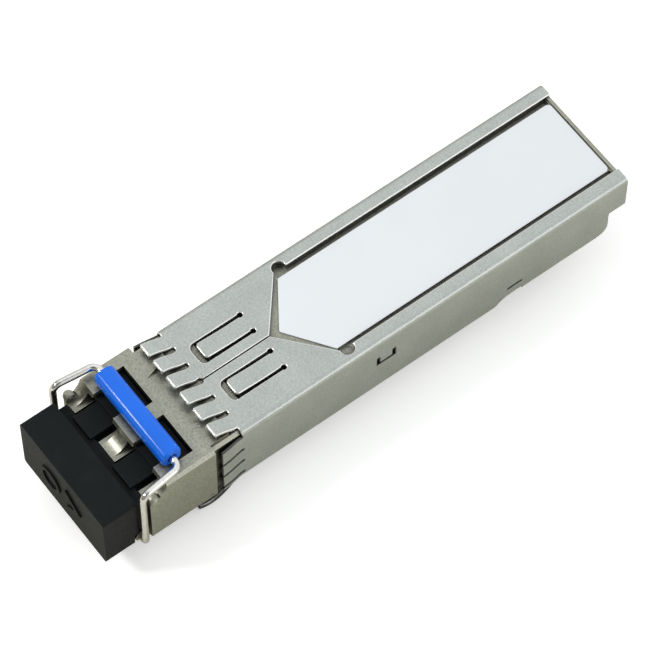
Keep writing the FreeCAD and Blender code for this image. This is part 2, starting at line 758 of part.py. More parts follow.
def bail_wire():
    """One spring-steel wire: grip bar, two arms, two pivots and the crank that works the lever."""
    pivot_y, pivot_z = size("pivot_forward"), size("pivot_height")
    arm, arm_top = size("bail_half"), size("bail_top_half")
    drop = size("crank_throw") * math.sqrt(0.5)
    crank = size("crank_half")
    half = [V(0.02, size("grip_rear"), size("bail_top")), V(arm_top, size("grip_rear"), size("bail_top")),
            V(arm, pivot_y, size("bail_top")), V(arm, pivot_y, pivot_z), V(crank + 0.6, pivot_y, pivot_z),
            V(crank, pivot_y - drop, pivot_z + drop)]
    bends = [size(bend) for bend in ("grip_bend", "shoulder_bend", "foot_bend", "crank_bend", "crank_bend")]
    points = half + [V(-point.x, point.y, point.z) for point in reversed(half)]
    feature = doc.addObject("Part::Feature", "bail_wire_shape")
    feature.Shape = bent_wire(points, bends + bends[::-1], size("wire_radius"))
    return node("bail_wire", feature)


def bail_sleeve():
    """The plastic grip moulded over the bail's top bar."""
    middle, level = "grip_rear", "bail_top"
    outline = [(f"{middle} - grip_depth / 2", f"{level} - grip_height / 2"),
               (f"{middle} + grip_depth / 2", f"{level} - grip_height / 2"),
               (f"{middle} + grip_depth / 2", f"{level} + grip_height / 2"),
               (f"{middle} - grip_depth / 2", f"{level} + grip_height / 2")]
    bar = prism("grip_bar", "YZ", outline, "-grip_half_length", "grip_half_length", "grip_round")
    bore = rod("grip_bore", "x", "wire_radius", "-grip_half_length - 1", "grip_half_length + 1",
               (middle, level))
    return node("bail_sleeve", cut("grip_cut", bar, [bore]))


def latch_lever():
    """The rocker under the ports: tail under the bail's crank, pin knuckle, arm and latch boss."""
    tail = box("lever_tail", half_pair("lever_tail_half"), ("lever_tail_front", "lever_body_front + overlap"),
               ("lever_tail_low", "lever_tail_top"))
    body = box("lever_body", half_pair("lever_half"), ("lever_body_front", "lever_body_rear"),
               ("lever_low", "lever_high"))
    knuckle = rod("lever_knuckle", "x", "knuckle_radius", "-lever_half", "lever_half",
                  ("lever_pin_forward", "lever_pin_height"))
    arm = box("lever_arm", half_pair("lever_arm_half"), ("lever_body_rear - overlap", "lever_rear"),
              ("lever_arm_low", "lever_arm_high"))
    boss = prism("lever_boss", "YZ", [
        ("0", "lever_arm_low + 0.1"), ("0", "-boss_height"), ("boss_crest", "-boss_height"),
        ("boss_length", "0.15"), ("boss_length", "lever_arm_low + 0.1")], "-boss_width / 2", "boss_width / 2")
    bore = rod("lever_bore_hole", "x", "lever_bore", "-lever_half - 1", "lever_half + 1",
               ("lever_pin_forward", "lever_pin_height"))
    lever = fuse("lever_solid", [tail, body, knuckle, arm, boss])
    return node("latch_lever", cut("lever_cut", lever, [bore]))


def lever_pin():
    return node("lever_pin", rod("pin_rod", "x", "lever_pin_radius", "-lever_pin_half", "lever_pin_half",
                                 ("lever_pin_forward", "lever_pin_height")))


def latch_spring():
    """The coil that holds the latch boss down, drawn as its wound wire."""
    foot = size("lever_arm_high") + size("spring_wire")
    height = size("spring_top") - size("spring_wire") - foot
    coil = Part.makeHelix(size("spring_pitch"), height, size("spring_radius"))
    section = Part.Wire([Part.makeCircle(size("spring_wire"), V(size("spring_radius"), 0, 0), V(0, 1, 0))])
    feature = doc.addObject("Part::Feature", "latch_spring_shape")
    feature.Shape = Part.Wire(coil.Edges).makePipeShell([section], True, True)
    feature.Placement.Base = V(0, size("spring_forward"), foot)
    return node("latch_spring", feature)


def plug_prong(side):
    """One hollow prong that fills a port round its barrel, with a key and ears that fill the latch slots."""
    middle = f"({side} * port_pitch / 2)"
    name = "prong_right" if side > 0 else "prong_left"
    shaft = box(name, (f"{middle} - prong_half", f"{middle} + prong_half"),
                ("plug_step_back - overlap", "prong_tip"),
                ("axis_height - prong_half", "axis_height + prong_half"))
    key = box(name + "_key", (f"{middle} - prong_key_half", f"{middle} + prong_key_half"),
              ("plug_step_back - overlap", "prong_key_back"), ("axis_height", "prong_key_top"))
    neck = box(name + "_neck", (f"{middle} - prong_key_half", f"{middle} + prong_key_half"),
               ("prong_ear_front", "prong_ear_back"), ("axis_height", "prong_ear_high"))
    ears = box(name + "_ears", (f"{middle} - prong_half", f"{middle} + prong_half"),
               ("prong_ear_front", "prong_ear_back"), ("prong_ear_low", "prong_ear_high"))
    bore = rod(name + "_bore", "y", "prong_bore", "prong_bore_end", "prong_tip + 1", (middle, "axis_height"))
    return [shaft, key, neck, ears], bore


def dust_plug():
    flange = prism("plug_flange", "XZ", [
        ("-plug_half", "plug_low"), ("plug_half", "plug_low"), ("plug_half", "plug_high"),
        ("-plug_half", "plug_high")], "plug_front", "plug_back", "plug_round")
    shoulder = prism("plug_shoulder", "XZ", [
        ("-plug_half", "plug_step_low"), ("plug_half", "plug_step_low"), ("plug_half", "plug_high"),
        ("-plug_half", "plug_high")], "plug_back - overlap", "plug_shoulder_back", "plug_round")
    step = box("plug_step", half_pair("plug_step_half"), ("plug_back - overlap", "plug_step_back"),
               ("plug_step_low", "plug_step_high"))
    level = "(plug_low + plug_high) / 2"
    face = ("plug_front - mark_relief", "plug_front + mark_relief")
    centre = ("-mark_offset", level)
    ring = cut("mark_ring", rod("ring_outside", "y", "ring_outer", *face, centre),
               [rod("ring_inside", "y", "ring_inner", "plug_front - 1", "plug_front + 1", centre)])
    back, tip = "(mark_offset - chevron_half)", "(mark_offset + chevron_half)"
    inner_rise = "(chevron_rise - chevron_weight * chevron_rise / (2 * chevron_half))"
    chevron = prism("mark_chevron", "XZ", [
        (back, f"{level} - chevron_rise"), (tip, level), (back, f"{level} + chevron_rise"),
        (back, f"{level} + {inner_rise}"), (f"{tip} - chevron_weight", level),
        (back, f"{level} - {inner_rise}")], *face)
    right, right_bore = plug_prong(1)
    left, left_bore = plug_prong(-1)
    solid = fuse("plug_solid", [flange, shoulder, step, ring, chevron] + right + left)
    return node("dust_plug", cut("plug_cut", solid, [right_bore, left_bore]))


# ---- circuit board -----------------------------------------------------------------------------


def circuit_board():
    outline = [("board_front_half", "board_front"), ("board_front_half", "board_mid_front"),
               ("board_mid_half", "board_mid_front"), ("board_mid_half", "board_mid_rear"),
               ("edge_half", "edge_taper"), ("edge_half", "board_rear - edge_chamfer"),
               ("edge_half - edge_chamfer", "board_rear")]
    left = [(f"-({across})", along) for across, along in reversed(outline)]
    return node("circuit_board", prism("board_panel", "XY", outline + left, "board_low",
                                       "board_low + board_thickness"))


def edge_contacts(name, low):
    """One row of gold contact pads at the board's tail."""
    pads = [box(f"{name}_{i}", (f"contact_pitch * ({i} - 4.5) - contact_width / 2",
                                f"contact_pitch * ({i} - 4.5) + contact_width / 2"),
                ("contact_front", "contact_rear"), (low, f"{low} + contact_thickness")) for i in range(10)]
    return row_of(name, pads)


def chip(name, top=True):
    """A flat package on the board, on its upper or its lower face, with a dimple at its first pin."""
    half_width, half_length = f"{name}_width / 2", f"{name}_length / 2"
    low = "board_low + board_thickness" if top else f"board_low - {name}_height"
    body = box(name + "_body", (f"{name}_across - {half_width}", f"{name}_across + {half_width}"),
               (f"{name}_along - {half_length}", f"{name}_along + {half_length}"),
               (low, f"{low} + {name}_height"))
    face = f"{low} + {name}_height" if top else low
    dimple = rod(name + "_dimple", "z", "dot_radius", f"{face} - dot_depth", f"{face} + dot_depth",
                 (f"{name}_across - {half_width} + dot_inset", f"{name}_along + {half_length} - dot_inset"))
    return node(name, cut(name + "_marked", body, [dimple]))


def row_of(name, solids):
    """Separate small parts kept together in one node."""
    group = doc.addObject("Part::Compound", name + "_row")
    group.Links = solids
    return node(name, group)


def board_parts():
    for name in PACKAGES:
        chip(name, top=name != "memory_chip")
    top = "board_low + board_thickness"
    beads = [box(f"bead_{i}", (f"bead_first + bead_pitch * {i} - bead_width / 2",
                               f"bead_first + bead_pitch * {i} + bead_width / 2"),
                 ("bead_front", "bead_front + bead_length"), (top, f"{top} + bead_height")) for i in range(4)]
    row_of("supply_beads", beads)
    chips = [box(f"passive_{i}_{row}", (f"passive_first + passive_pitch * {i} - passive_width / 2",
                                        f"passive_first + passive_pitch * {i} + passive_width / 2"),
                 (f"passive_row_{row}", f"passive_row_{row} + passive_length"),
                 (top, f"{top} + passive_height"))
             for row in "abc" for i in range(8)]
    row_of("board_passives", chips)


# ---- optical subassemblies ---------------------------------------------------------------------


def optical_subassembly(name, side):
    """Barrel, ceramic sleeve, fibre stub, body, header can and flexible circuit of one fibre port."""
    middle = f"({side} * port_pitch / 2)"
    centre = (middle, "axis_height")

    def turned(tag, radius, low, high):
        return rod(f"{name}_{tag}", "y", radius, low, high, centre)

    tube = turned("tube", "barrel_radius", "barrel_tip", "optic_front")
    bore = turned("bore", "barrel_bore", "barrel_tip - 1", "optic_front + 1")
    node(name + "_barrel", cut(name + "_barrel_cut", tube, [bore]))
    ceramic = turned("ceramic", "barrel_bore", "barrel_tip + sleeve_recess", "stub_tip")
    ferrule_bore = turned("ferrule_bore", "sleeve_bore", "barrel_tip - 1", "optic_front + 1")
    node(name + "_sleeve", cut(name + "_sleeve_cut", ceramic, [ferrule_bore]))
    node(name + "_stub", turned("stub_rod", "barrel_bore", "stub_tip", "optic_front"))
    body = fuse(name + "_body_solid", [
        turned("front", "optic_radius", "optic_front", "optic_flange_rear"),
        turned("flange", "optic_flange", "bulkhead_rear", "optic_flange_rear"),
        turned("rear", "can_radius + 0.1", "optic_flange_rear", "optic_rear")])
    node(name + "_body", body)
    can = fuse(name + "_can_solid", [turned("can_rim", "can_radius", "optic_rear", "optic_rear + 0.5"),
                                     turned("can_cap", "can_radius - 0.35", "optic_rear", "can_rear")])
    node(name + "_can", can)
    across = (f"{middle} - flex_half", f"{middle} + flex_half")
    top = "board_low + board_thickness"
    flex = fuse(name + "_flex_solid", [
        box(name + "_flex_stand", across, ("can_rear", "can_rear + flex_thickness"), (top, "flex_top")),
        box(name + "_flex_run", across, ("can_rear", "flex_rear"), (top, f"{top} + flex_thickness"))])
    node(name + "_flex", flex)


def optics_clamp():
    """The plate behind the optics' flanges that presses them against the bulkhead."""
    depth = ("optic_flange_rear", "optic_flange_rear + clamp_thickness")
    plate = box("clamp_plate", half_pair("clamp_half"), depth, ("clamp_low", "clamp_high"))
    reach = ("optic_flange_rear - 1", "optic_flange_rear + clamp_thickness + 1")
    cutters = []
    for name, side in (("clamp_left", -1), ("clamp_right", 1)):
        middle, radius = f"({side} * port_pitch / 2)", "(can_radius + clamp_gap)"
        cutters.append(rod(name, "y", radius, *reach, (middle, "axis_height")))
        cutters.append(box(name + "_mouth", (f"{middle} - {radius}", f"{middle} + {radius}"), reach,
                           ("clamp_low - 1", "axis_height")))
    return node("optics_clamp", cut("clamp_cut", plate, cutters))


def write_nodes():
    """Check every object and every finished shape, then write one file for each sub-part."""
    doc.recompute()
    failed = [item.Label for item in doc.Objects if {"Invalid", "Error"} & set(item.State)]
    broken = [name for name, solid in nodes.items() if solid.Shape.isNull() or not solid.Shape.isValid()]
    if failed or broken:
        raise RuntimeError(f"failed objects {failed}, broken shapes {broken}")
    os.makedirs("parts", exist_ok=True)
    for name, solid in nodes.items():
        solid.Shape.exportStep(f"parts/{name}.step")
        print(f"{name:22s} solids {len(solid.Shape.Solids):2d} volume {solid.Shape.Volume:9.3f}")


nose_housing()
cover_housing()
base_tray()
shell()
label()
bail_wire()
bail_sleeve()
latch_lever()
lever_pin()
latch_spring()
dust_plug()
circuit_board()
edge_contacts("edge_contacts_top", "board_low + board_thickness")
edge_contacts("edge_contacts_bottom", "board_low - contact_thickness")
board_parts()
optical_subassembly("tosa", -1)
optical_subassembly("rosa", 1)
optics_clamp()
write_nodes()
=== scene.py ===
"""The looks of a small pluggable optical transceiver module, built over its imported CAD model.

Lengths are written in millimetres and turned into metres as meshes are made. The shell is cut as one
flat blank and folded; the castings and the dust plug take the CAD shapes and get softened edges; the
bail's wire, its grip and the label are built here.
"""
import json
import math

import bmesh
import bpy
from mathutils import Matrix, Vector
from mathutils.geometry import delaunay_2d_cdt
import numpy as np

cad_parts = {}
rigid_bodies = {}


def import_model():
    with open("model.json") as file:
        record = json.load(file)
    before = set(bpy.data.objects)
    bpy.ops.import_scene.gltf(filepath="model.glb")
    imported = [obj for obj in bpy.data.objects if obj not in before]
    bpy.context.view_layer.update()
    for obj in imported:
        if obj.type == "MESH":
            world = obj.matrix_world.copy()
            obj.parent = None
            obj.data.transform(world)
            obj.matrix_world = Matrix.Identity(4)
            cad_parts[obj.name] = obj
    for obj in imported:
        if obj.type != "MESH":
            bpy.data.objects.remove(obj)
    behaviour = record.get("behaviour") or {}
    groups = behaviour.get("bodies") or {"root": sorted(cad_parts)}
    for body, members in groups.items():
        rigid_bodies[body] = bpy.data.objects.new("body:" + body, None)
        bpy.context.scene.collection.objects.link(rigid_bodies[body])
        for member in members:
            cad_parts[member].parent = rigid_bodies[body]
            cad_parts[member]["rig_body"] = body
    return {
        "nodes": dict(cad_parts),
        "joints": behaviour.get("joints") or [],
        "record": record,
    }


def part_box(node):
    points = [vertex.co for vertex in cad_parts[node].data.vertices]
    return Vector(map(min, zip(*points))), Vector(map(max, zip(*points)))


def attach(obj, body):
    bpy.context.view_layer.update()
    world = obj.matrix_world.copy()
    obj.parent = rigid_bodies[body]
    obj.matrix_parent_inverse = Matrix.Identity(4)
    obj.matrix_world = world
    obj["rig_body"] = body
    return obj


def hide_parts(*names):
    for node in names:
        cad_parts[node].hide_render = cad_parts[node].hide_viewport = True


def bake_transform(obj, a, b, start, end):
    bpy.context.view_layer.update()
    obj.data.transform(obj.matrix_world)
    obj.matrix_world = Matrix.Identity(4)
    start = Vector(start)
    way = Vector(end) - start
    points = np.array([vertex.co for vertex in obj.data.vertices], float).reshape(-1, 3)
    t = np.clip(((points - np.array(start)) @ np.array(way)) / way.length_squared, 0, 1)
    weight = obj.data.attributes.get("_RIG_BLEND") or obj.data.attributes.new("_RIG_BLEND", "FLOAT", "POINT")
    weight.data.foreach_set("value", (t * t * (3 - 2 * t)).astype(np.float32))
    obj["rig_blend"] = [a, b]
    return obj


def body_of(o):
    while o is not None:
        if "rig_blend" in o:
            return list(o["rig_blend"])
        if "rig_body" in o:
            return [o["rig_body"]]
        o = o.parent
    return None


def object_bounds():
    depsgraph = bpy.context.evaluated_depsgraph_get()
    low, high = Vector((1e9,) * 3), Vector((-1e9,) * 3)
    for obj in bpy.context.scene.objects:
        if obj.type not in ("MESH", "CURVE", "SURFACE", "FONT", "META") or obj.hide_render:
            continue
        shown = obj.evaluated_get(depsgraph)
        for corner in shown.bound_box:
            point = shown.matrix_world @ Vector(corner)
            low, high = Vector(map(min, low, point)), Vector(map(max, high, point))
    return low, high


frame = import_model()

MM = 0.001
CAD_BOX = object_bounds()

# mesh work
WHOLE_HULL = 0
CUT_TOLERANCE = 1e-5
SPLIT_TOLERANCE = 1e-6
MERGE = 0.03
SPECK = 0.01
CAD_MERGE = 0.002
HAIR = 0.01
CORNER_STEPS = 4
SWEEP_STEPS = 8

# sheet-metal shell
SHEET = 0.3
SHEARED_ROUND = 0.09
BEND_RADIUS = 0.6
BEND_STEPS = 6
RIM_EDGE = 5.15
VEE_POINT = 7.95
VEE_SHOULDER = 12.3
NOTCH = (5.3, 12.95, 0.7)
NOTCH_STEPS = 14
SEAM_HALF = 0.06
SEAM_HOLE_Y = 0.1
SEAM_HOLE_RADIUS = 0.33
SEAM_HOLE_STEPS = 6
TOP_FINGER_REACH = 2.4
TOP_FINGER_RISE = 1.0
TOP_FINGER_PITCH = 2.06
TOP_FINGER_HALF = 0.76
SIDE_FLARE = 0.3
SIDE_FINGER_REACH = 2.5
SIDE_FLAP = (0.35, 7.65)
SIDE_SLITS = (0.85, 2.15, 0.28)
BELLY_FINGER_REACH = 4.9
BELLY_FINGER_DROP = 2.2
BELLY_CREST = 0.7
BELLY_FLAP = (2.7, 6.35)
BELLY_SLIT_HALF = 0.2
ROOT_ROUND = 0.2
FINGER_BOW = 0.6
FLAP_MARGIN = 0.05
TIP_CORNER = 0.14
SLIT_ROUND = 0.45
FINGER_BENDS = (0.09, 0.25, 0.43, 0.65, 0.9, 1.15, 1.45, 1.75, 2.1, 2.6, 3.0, 3.4, 3.8, 4.2, 4.5)
TAB_CENTRE = 2.37
TAB_HALF = 0.9
TAB_FRONT = 1.9
TAB_BEND = 5.1
TAB_ROOT = 7.1
TAB_RISE = 0.22
TAB_ROUND = 0.35
TAB_SLOT = 0.3
TAB_WINDOW_FRONT = 1.3
TAB_WINDOW_ROUND = 0.6
TAB_RELIEF = 0.27
TAB_RELIEF_STEPS = 12
TAB_SLOT_END = 7.05
TAB_SPLITS = (0, 0.08, 0.16, 0.25, 0.4, 0.6, 1.0)
LANCE = (15.4, 17.5, 4.4, 5.65, 0.28)
BELLY_END = 29.4
BELLY_SWEEP = 2.0
BELLY_RISE = 1.2
BELLY_STEP = 32.6
BELLY_SLIT = (30.9, 32.5, 2.35, 2.6)
SILL = 0.95
TAIL_STEP = 43.0
TAIL_STEP_HEIGHT = 4.1
TAIL_ROUND = 1.2
BOSS_WINDOW = (1.65, 3.1)

# pull bail
WIRE_RADIUS = 0.36
BAIL_TOP_HALF = 6.5
CRANK_HALF = 2.3
CRANK_THROW = 0.4
CRANK_RUN = 0.6
WIRE_BENDS = (0.8, 0.9, 0.5, 0.4, 0.4)
GRIP_ROUND = 0.75
GRIP_END_ROUND = 0.22
GRIP_HOLE = 0.5
GRIP_DIMPLE = 0.25
GRIP_END_STEPS = 5

# label
LABEL_SHOULDER = 12.3
LABEL_CORNER = 0.45
LABEL_TURN = 0.12
LABEL_TIP = 0.2
LABEL_EDGE = 0.02

# camera
CAMERA_AZIMUTH = 53.22
CAMERA_ELEVATION = 60.96
CAMERA_TARGET = (0.16, 14.24, 4.0)
CAMERA_DISTANCE = 365.3
CAMERA_LENS = 216.7
CAMERA_SENSOR = 36

# studio
FLOOR_HALF = 1.5
LIGHT_DISTANCE = 0.5
LIGHTS = (
    ("key", (-0.39, -0.64, 0.66), 0.09, 1.1, (1.0, 0.99, 0.97)),
    ("rim", (0.87, 0.29, 0.39), 0.24, 0.24, (1.0, 1.0, 1.0)),
)
BRIGHT_END = (0.15, 0.65, 0.75)
ROOM_DIM = (0.32, 0.31, 0.28)
ROOM_BRIGHT = (1.07, 1.09, 1.09)
ROOM_BRIGHT_FROM = 0.6
DARK_PATCH = (0.39, -0.29, 0.87)
DARK_PATCH_EDGE = (0.86, 0.96)
DARK_PATCH_LEVEL = 0.2
FLOOR_BOUNCE = (0.82, 0.80, 0.70)
FLOOR_GLOW = 0.35


# ---- shapes ------------------------------------------------------------------------------------


def arc(centre, radius, first, last, steps):
    """Points round a circle between two angles in degrees."""
    angles = [math.radians(first + (last - first) * i / steps) for i in range(steps + 1)]
    return [(centre[0] + radius * math.cos(a), centre[1] + radius * math.sin(a)) for a in angles]


def rounded(corners, radii, steps=6):
    """An outline with its corners rounded by tangent arcs; a radius of 0 keeps a corner sharp."""
    outline = []
    for i, radius in enumerate(radii):
        corner = Vector(corners[i])
        if not radius:
            outline.append(corner)
            continue
        arriving = (corner - Vector(corners[i - 1])).normalized()
        leaving = (Vector(corners[(i + 1) % len(corners)]) - corner).normalized()
        turn = arriving.angle(leaving)
        setback = radius * math.tan(turn / 2)
        inward = (leaving - arriving).normalized()
        centre = corner + inward * radius / math.cos(turn / 2)
        first = math.atan2(*(corner - arriving * setback - centre).yx)
        last = math.atan2(*(corner + leaving * setback - centre).yx)
        sweep = math.remainder(last - first, 2 * math.pi)
        angles = [first + sweep * k / steps for k in range(steps + 1)]
        outline += [centre + radius * Vector((math.cos(angle), math.sin(angle))) for angle in angles]
    return outline


def crossings(sides, place):
    """How many of these sides lie to the right of a place."""
    level = [(start, end) for start, end in sides if (start.y > place.y) != (end.y > place.y)]
    return sum(place.x < start.x + (end.x - start.x) * (place.y - start.y) / (end.y - start.y)
               for start, end in level)


def flat_mesh(name, loops):
    """One flat sheet on the XY plane from an outer loop and the loops of its holes, in millimetres."""
    points = [Vector(point) for loop in loops for point in loop]
    links = []
    for loop in loops:
        first = len(links)
        links += [(first + i, first + (i + 1) % len(loop)) for i in range(len(loop))]
    places, _, triangles = delaunay_2d_cdt(points, links, [], WHOLE_HULL, CUT_TOLERANCE)[:3]
    sides = [(points[start], points[end]) for start, end in links]
    middles = [sum((places[corner] for corner in triangle), Vector((0, 0))) / 3 for triangle in triangles]
    sheet = [triangle for triangle, middle in zip(triangles, middles) if crossings(sides, middle) % 2]
    mesh = bpy.data.meshes.new(name)
    mesh.from_pydata([(place.x, place.y, 0) for place in places], [], sheet)
    return mesh


def new_piece(name, mesh, node, materials):
    """A finished mesh that stands for a CAD node and rides on that node's body."""
    piece = bpy.data.objects.new(name, mesh)
    bpy.context.scene.collection.objects.link(piece)
    mesh.materials.clear()
    for material in materials:
        mesh.materials.append(material)
    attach(piece, body_of(frame["nodes"][node])[0])
    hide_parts(node)
    return piece


def soften(piece, width, angle=35, segments=2, material=-1, clamp=True):
    """Round the sharp edges over a small width and even out the shading of the flat faces."""
    bevel = piece.modifiers.new("edges", "BEVEL")
    bevel.width = width * MM
    bevel.segments = segments
    bevel.limit_method = "ANGLE"
    bevel.angle_limit = math.radians(angle)
    bevel.material = material
    bevel.use_clamp_overlap = clamp
    shading = piece.modifiers.new("shading", "WEIGHTED_NORMAL")
    shading.keep_sharp = True


def shade_smooth(bm, angle=30):
    """Smooth shading everywhere but over edges sharper than the angle."""
    for face in bm.faces:
        face.smooth = True
    for edge in bm.edges:
        edge.smooth = len(edge.link_faces) == 2 and edge.calc_face_angle(0) < math.radians(angle)


def cad_mesh(node):
    """A clean copy of a CAD node's mesh: joined vertices, and flat regions as single faces."""
    bm = bmesh.new()
    bm.from_mesh(frame["nodes"][node].data)
    for layers in (bm.loops.layers.uv, bm.loops.layers.color):
        for layer in layers.values():
            layers.remove(layer)
    bmesh.ops.remove_doubles(bm, verts=bm.verts, dist=CAD_MERGE * MM)
    bmesh.ops.dissolve_limit(bm, angle_limit=math.radians(0.6), verts=bm.verts, edges=bm.edges)
    shade_smooth(bm)
    for face in bm.faces:
        face.material_index = 0
    mesh = bpy.data.meshes.new(node + "_softened")
    bm.to_mesh(mesh)
    bm.free()
    if "custom_normal" in mesh.attributes:
        mesh.attributes.remove(mesh.attributes["custom_normal"])
    return mesh


# ---- the shell's blank -------------------------------------------------------------------------

SHELL_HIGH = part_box("shell")[1] / MM
HALF_WIDTH = SHELL_HIGH.x - SIDE_FLARE
HEIGHT = SHELL_HIGH.z - TOP_FINGER_RISE
LENGTH = SHELL_HIGH.y
BEND_RUN = BEND_RADIUS * math.pi / 2
FLOOR_RUN = HALF_WIDTH - BEND_RADIUS
WALL_START = FLOOR_RUN + BEND_RUN
WALL_END = WALL_START + HEIGHT - 2 * BEND_RADIUS
ROOF_START = WALL_END + BEND_RUN
SEAM = ROOF_START + FLOOR_RUN


def on_roof(x):
    """Distance across the blank, from the middle of the underside, of a place on the roof."""
    return SEAM - x


def on_wall(z):
    """The same for a height on the side wall, the lower bend included."""
    if z >= BEND_RADIUS:
        return WALL_START + z - BEND_RADIUS
    return FLOOR_RUN + BEND_RADIUS * math.acos(1 - z / BEND_RADIUS)


def eased(part):
    """A ramp from 0 to 1 that starts without a kink."""
    return (math.hypot(part, ROOT_ROUND) - ROOT_ROUND) / (math.hypot(1, ROOT_ROUND) - ROOT_ROUND)


def bowed(part):
    """How far a finger has moved out at a part of its length."""
    return (1 + FINGER_BOW) * eased(part) - FINGER_BOW * eased(part) ** 2


def fold(across, along):
    """Where a point of the flat blank lies on the folded shell."""
    side = math.copysign(1, across)
    run = abs(across)
    upper = HEIGHT - BEND_RADIUS
    if run <= FLOOR_RUN:
        x, z = run, 0.0
    elif run <= WALL_START:
        turn = (run - FLOOR_RUN) / BEND_RADIUS
        x, z = FLOOR_RUN + BEND_RADIUS * math.sin(turn), BEND_RADIUS * (1 - math.cos(turn))
    elif run <= WALL_END:
        x, z = HALF_WIDTH, BEND_RADIUS + run - WALL_START
    elif run <= ROOF_START:
        turn = (run - WALL_END) / BEND_RADIUS
        x, z = FLOOR_RUN + BEND_RADIUS * math.cos(turn), upper + BEND_RADIUS * math.sin(turn)
    else:
        x, z = SEAM - run, HEIGHT
    if along < 0 and run < on_wall(SIDE_FLAP[0]) - FLAP_MARGIN:
        swing = min(-along / BELLY_FINGER_REACH / BELLY_CREST, 2) * math.pi / 2
        z -= BELLY_FINGER_DROP * math.sin(swing)
    elif along < 0 and run < WALL_END:
        x += SIDE_FLARE * bowed(-along / SIDE_FINGER_REACH)
    elif along < 0:
        z += TOP_FINGER_RISE * bowed(-along / TOP_FINGER_REACH)
    on_tab = abs(x - TAB_CENTRE) < TAB_HALF + HAIR and TAB_FRONT - HAIR < along < TAB_BEND
    if on_tab and run > ROOF_START:
        z += TAB_RISE * eased((TAB_BEND - along) / (TAB_BEND - TAB_FRONT))
    return Vector((side * x, along, z))


def finger_row(sides, reach):
    """The corners round a row of fingers whose sides stand at these places across the blank.

    A corner is its place across, its place along, and the radius that rounds it.
    """
    corners = [(sides[0], 0, 0)]
    for near, far in zip(sides[::2], sides[1::2]):
        corners += [(near, -reach, TIP_CORNER), (far, -reach, TIP_CORNER)]
        if far != sides[-1]:
            following = sides[sides.index(far) + 1]
            root = abs(following - far) * SLIT_ROUND
            corners += [(far, root, root), (following, root, root)]
    return corners + [(sides[-1], 0, 0)]


def front_edge():
    """The right half of the front edge, from the underside's middle to the seam's hole."""
    window, window_rear = BOSS_WINDOW
    corners = [(0, window_rear, 0), (window, window_rear, TIP_CORNER), (window, 0, 0)]
    middle = sum(BELLY_FLAP) / 2
    around_bend = (BELLY_FLAP[1] - FLOOR_RUN) / BEND_RADIUS
    flap_end = on_wall(BEND_RADIUS * (1 - math.sqrt(1 - around_bend ** 2)))
    corners += finger_row([BELLY_FLAP[0], middle - BELLY_SLIT_HALF, middle + BELLY_SLIT_HALF, flap_end],
                          BELLY_FINGER_REACH)
    first, pitch, width = SIDE_SLITS
    slits = [on_wall(first + pitch * i + shift) for i in range(3) for shift in (0, width)]
    corners += finger_row([on_wall(SIDE_FLAP[0])] + slits + [on_wall(SIDE_FLAP[1])], SIDE_FINGER_REACH)
    corners += finger_row([on_roof(TOP_FINGER_PITCH * i + shift) for i in (2.5, 1.5, 0.5)
                           for shift in (TOP_FINGER_HALF, -TOP_FINGER_HALF)], TOP_FINGER_REACH)
    places, radii = [corner[:2] for corner in corners], [corner[2] for corner in corners]
    return rounded(places, radii, steps=CORNER_STEPS)[:-1]


def seam_edge():
    """From the front through the seam's hole, along the seam and the V, round the notch to the tail."""
    radius = SEAM_HOLE_RADIUS
    start = -math.degrees(math.acos((TOP_FINGER_PITCH / 2 - TOP_FINGER_HALF) / radius))
    end = math.degrees(math.acos(SEAM_HALF / radius))
    edge = [(on_roof(x), y) for x, y in arc((0, SEAM_HOLE_Y), radius, start, end, SEAM_HOLE_STEPS)]
    slope = (VEE_SHOULDER - VEE_POINT) / RIM_EDGE
    edge.append((on_roof(SEAM_HALF), VEE_POINT + slope * SEAM_HALF))
    x, y, notch = NOTCH
    into = math.degrees(math.atan2(VEE_SHOULDER - y, RIM_EDGE - x))
    out = math.degrees(math.acos((RIM_EDGE - x) / notch))
    edge += [(on_roof(across), along) for across, along in arc((x, y), notch, into, out, NOTCH_STEPS)]
    return edge + [(on_roof(RIM_EDGE), LENGTH)]


def tail_edge():
    """Down the tail's end, round the corner of the step, along the sill and down the belly's end."""
    edge = [(on_wall(TAIL_STEP_HEIGHT), LENGTH), (on_wall(TAIL_STEP_HEIGHT), TAIL_STEP)]
    corner = arc((TAIL_STEP - TAIL_ROUND, SILL + TAIL_ROUND), TAIL_ROUND, 0, -90, SWEEP_STEPS)
    edge += [(on_wall(z), along) for along, z in corner]
    edge += [(on_wall(SILL), BELLY_STEP), (on_wall(BELLY_RISE), BELLY_STEP)]
    for i in range(SWEEP_STEPS + 1):
        angle = math.radians(90 - 90 * i / SWEEP_STEPS)
        along = BELLY_END + BELLY_SWEEP * (1 - math.cos(angle))
        edge.append((on_wall(BELLY_RISE * math.sin(angle)), along))
    return edge + [(0, BELLY_END)]


def tab_slot():
    """The U-shaped slot round the right spring tab, with round reliefs at its ends."""
    window = TAB_HALF + TAB_SLOT
    outer = rounded([(-window, TAB_SLOT_END), (-window, TAB_WINDOW_FRONT), (window, TAB_WINDOW_FRONT),
                     (window, TAB_SLOT_END)], [0, TAB_WINDOW_ROUND, TAB_WINDOW_ROUND, 0])
    inner = rounded([(TAB_HALF, TAB_SLOT_END), (TAB_HALF, TAB_FRONT), (-TAB_HALF, TAB_FRONT),
                     (-TAB_HALF, TAB_SLOT_END)], [0, TAB_ROUND, TAB_ROUND, 0])
    middle = TAB_HALF + TAB_SLOT / 2
    open_half = math.degrees(math.asin(TAB_SLOT / 2 / TAB_RELIEF))
    right, left = (arc((side * middle, TAB_ROOT), TAB_RELIEF, open_half - 90, 270 - open_half,
                       TAB_RELIEF_STEPS) for side in (1, -1))
    loop = outer[1:-1] + [Vector(p) for p in right] + inner[1:-1] + [Vector(p) for p in left]
    return [(on_roof(TAB_CENTRE + x), y) for x, y in loop]


